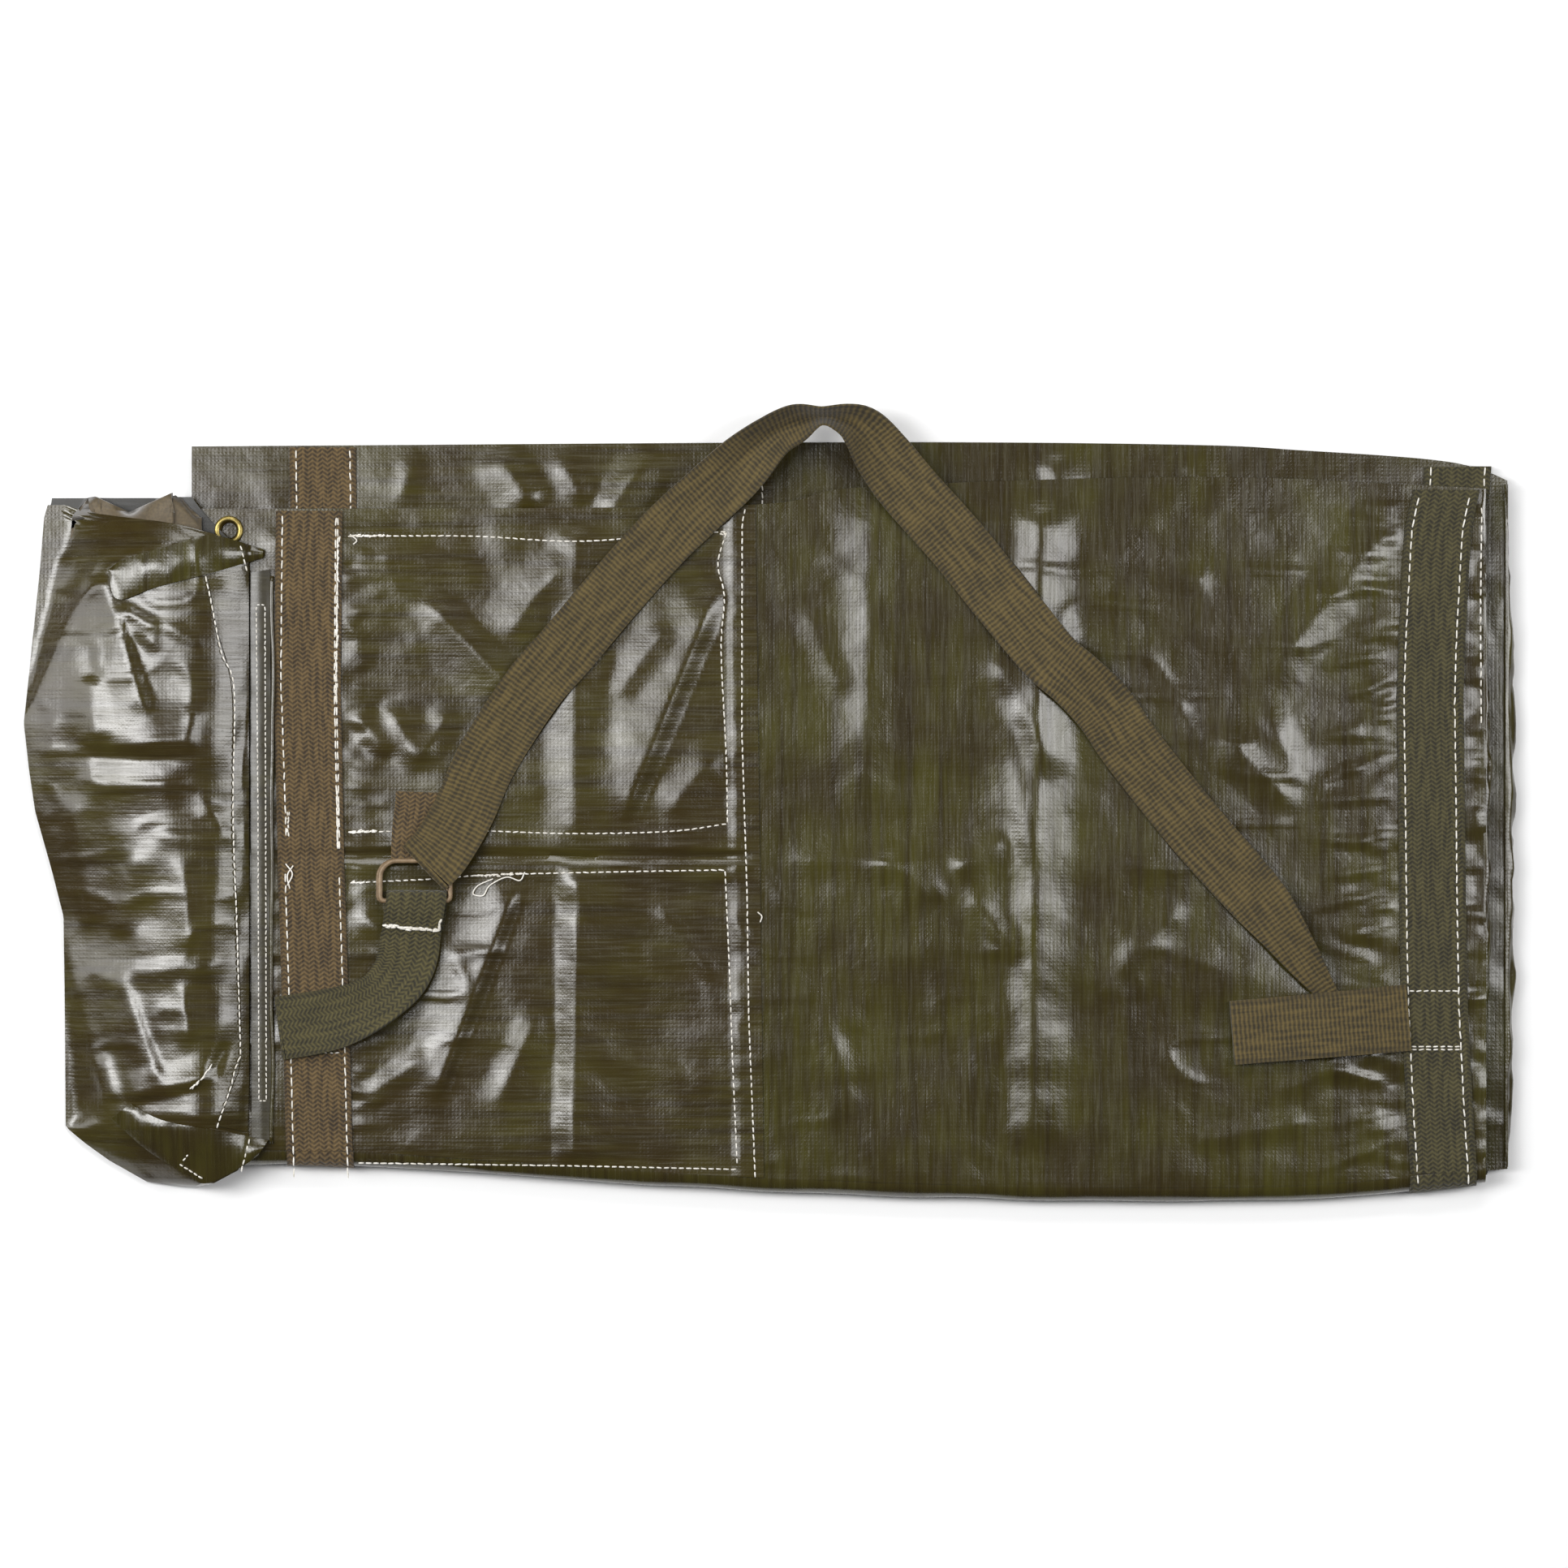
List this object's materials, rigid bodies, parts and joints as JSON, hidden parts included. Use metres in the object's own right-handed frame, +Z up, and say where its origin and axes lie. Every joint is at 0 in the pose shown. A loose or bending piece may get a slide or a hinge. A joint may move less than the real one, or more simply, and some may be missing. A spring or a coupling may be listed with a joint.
{
  "type": "folding stretcher",
  "caption": "Soft poleless folding stretcher of coated woven sheet, folded flat for carrying, with cross webbing, a shoulder strap on D-rings and an end pocket.",
  "frame": {"origin": "middle of the folded pack's footprint, on the floor it lies on", "axes": "+X along the pack from the pocket to the cross fold, +Y from the long fold to the free edges, +Z up from the floor"},
  "size_m": [0.9, 0.4788, 0.0385],
  "materials": {
    "coated_cloth": "glossy olive coated woven sheet",
    "cross_webbing": "matt herringbone webbing",
    "strap_webbing": "matt ribbed webbing",
    "nylon": "matt plain-woven nylon",
    "sewing_thread": "off-white sewing thread",
    "brass": "stamped brass",
    "ring_enamel": "tan enamel on steel wire"
  },
  "bodies": {
    "lower_pack": {"lower_outer_left_webbing": "cross_webbing", "lower_outer_right_webbing": "cross_webbing", "lower_outer_end_panel": "coated_cloth", "lower_outer_middle_panel": "coated_cloth", "lower_inner_end_panel": "coated_cloth", "lower_inner_middle_panel": "coated_cloth", "lower_inner_left_webbing": "cross_webbing", "lower_inner_right_webbing": "cross_webbing", "lower_cross_fold": "coated_cloth", "lower_outer_long_fold": "coated_cloth", "lower_inner_long_fold": "coated_cloth"},
    "upper_pack": {"upper_inner_left_webbing": "cross_webbing", "upper_inner_right_webbing": "cross_webbing", "upper_inner_end_panel": "coated_cloth", "upper_inner_middle_panel": "coated_cloth", "upper_outer_end_panel": "coated_cloth", "upper_outer_middle_panel": "coated_cloth", "upper_cross_fold": "coated_cloth", "upper_outer_long_fold": "coated_cloth", "upper_inner_long_fold": "coated_cloth", "left_cross_webbing": "cross_webbing", "right_cross_webbing": "cross_webbing", "upper_backing_patch": "coated_cloth", "lower_backing_patch": "coated_cloth", "eyelet": "brass", "eyelet_washer": "brass", "pocket_flange": "coated_cloth", "right_strap_end": "strap_webbing", "left_strap_end": "strap_webbing"},
    "carry_strap": {"shoulder_strap": "strap_webbing", "strap_tail": "strap_webbing", "front_d_ring": "ring_enamel", "back_d_ring": "ring_enamel", "ring_strap": "strap_webbing"},
    "end_pocket": {"pocket_back": "coated_cloth", "pocket_front": "coated_cloth", "pocket_facing": "coated_cloth", "pocket_upper_gusset": "coated_cloth", "pocket_lower_gusset": "coated_cloth", "rolled_cover": "nylon"}
  },
  "joints": [
    {"name": "long_fold", "type": "hinge", "parent": "lower_pack", "child": "upper_pack", "pos_m": [0, -0.2397, 0.01065], "axis": [1, 0, 0], "range_deg": [0, 180]},
    {"name": "strap_lift", "type": "hinge", "parent": "upper_pack", "child": "carry_strap", "pos_m": [0.05, -0.10659, 0.0245], "axis": [1, 0, 0], "range_deg": [0, 120]},
    {"name": "pocket_lift", "type": "hinge", "parent": "upper_pack", "child": "end_pocket", "pos_m": [-0.31, -0.02, 0.0195], "axis": [0, 1, 0], "range_deg": [0, 90]}
  ]
}
